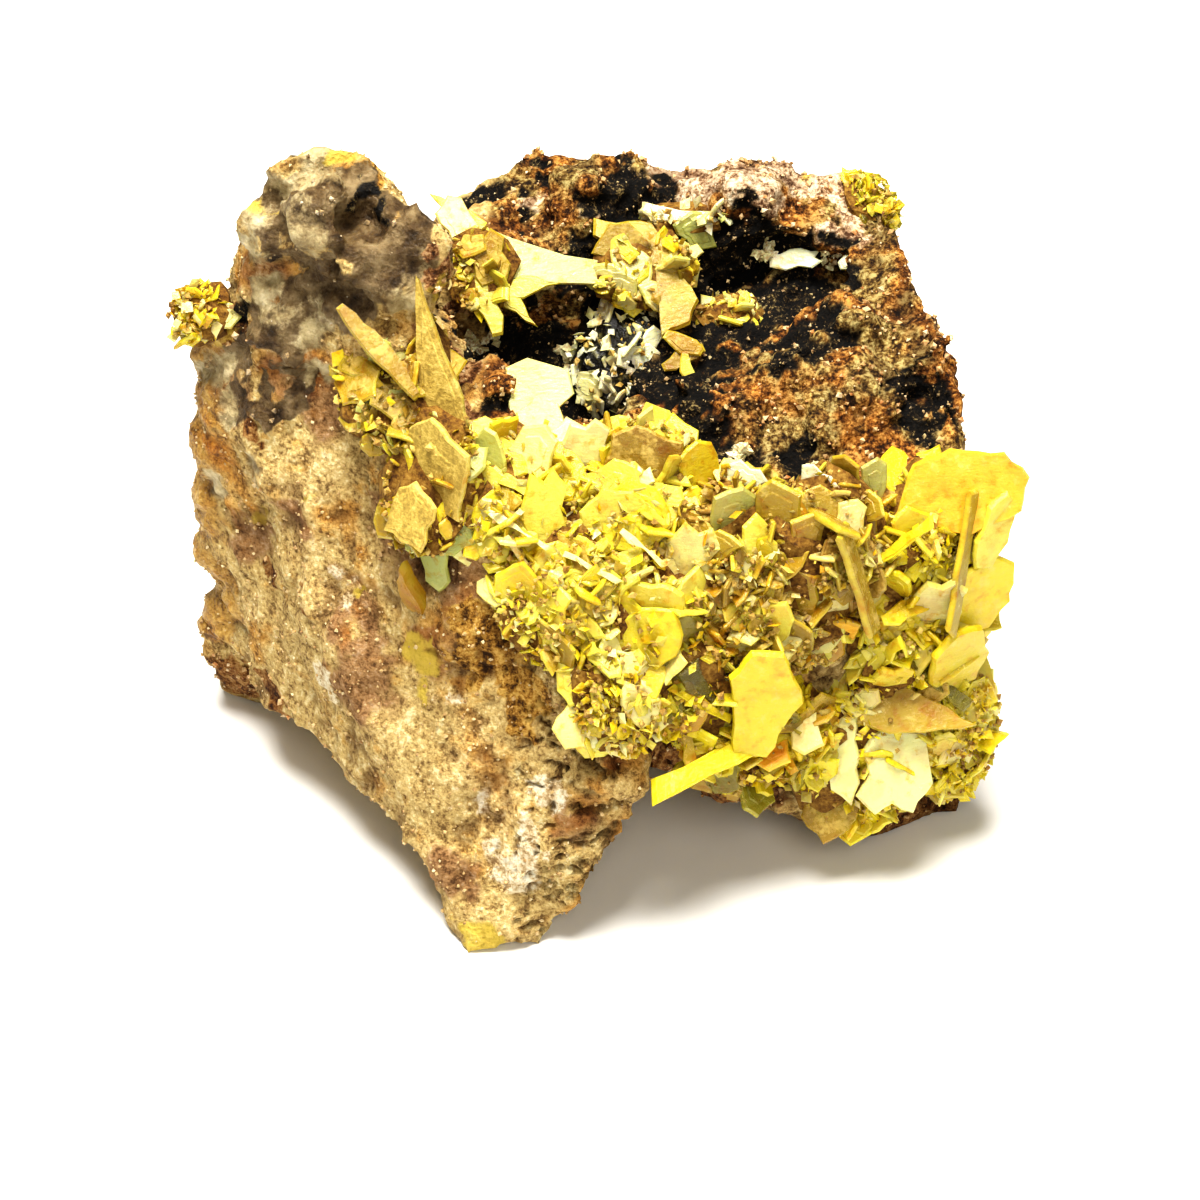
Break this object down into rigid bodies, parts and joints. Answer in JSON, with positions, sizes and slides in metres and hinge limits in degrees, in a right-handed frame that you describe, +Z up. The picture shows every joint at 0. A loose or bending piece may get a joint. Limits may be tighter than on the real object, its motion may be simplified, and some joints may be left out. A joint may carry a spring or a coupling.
{
  "type": "wulfenite",
  "caption": "Wulfenite specimen: thin yellow tablet crystals grown over a broken block of brown limonite with a black hollow in its top, standing on low feet.",
  "frame": {"origin": "under the middle of the specimen, on the level its feet rest on", "axes": "+X along the longest side, towards the right with the broad crystal front facing the viewer; +Y away from the viewer; +Z up"},
  "size_m": [0.0596, 0.0442, 0.0512],
  "materials": {
    "rock": "rough broken limonite, sandy, with quartz",
    "front_left_crystals": "adamantine",
    "front_right_crystals": "adamantine under tan dust",
    "lower_crystals": "adamantine",
    "right_corner_crystals": "adamantine",
    "wall_crystals": "dusty",
    "ledge_crystals": "adamantine",
    "pit_crystals": "fine drusy",
    "hollow_crystals": "fine drusy",
    "back_rim_crystals": "fine drusy",
    "rim_corner_crystals": "fine drusy",
    "left_edge_crystals": "fine drusy",
    "wall_spear": "adamantine"
  },
  "bodies": {
    "root": {"rock": "rock", "front_left_crystals": "front_left_crystals", "front_right_crystals": "front_right_crystals", "lower_crystals": "lower_crystals", "right_corner_crystals": "right_corner_crystals", "wall_crystals": "wall_crystals", "ledge_crystals": "ledge_crystals", "pit_crystals": "pit_crystals", "hollow_crystals": "hollow_crystals", "back_rim_crystals": "back_rim_crystals", "rim_corner_crystals": "rim_corner_crystals", "left_edge_crystals": "left_edge_crystals", "wall_spear": "wall_spear"}
  },
  "joints": []
}
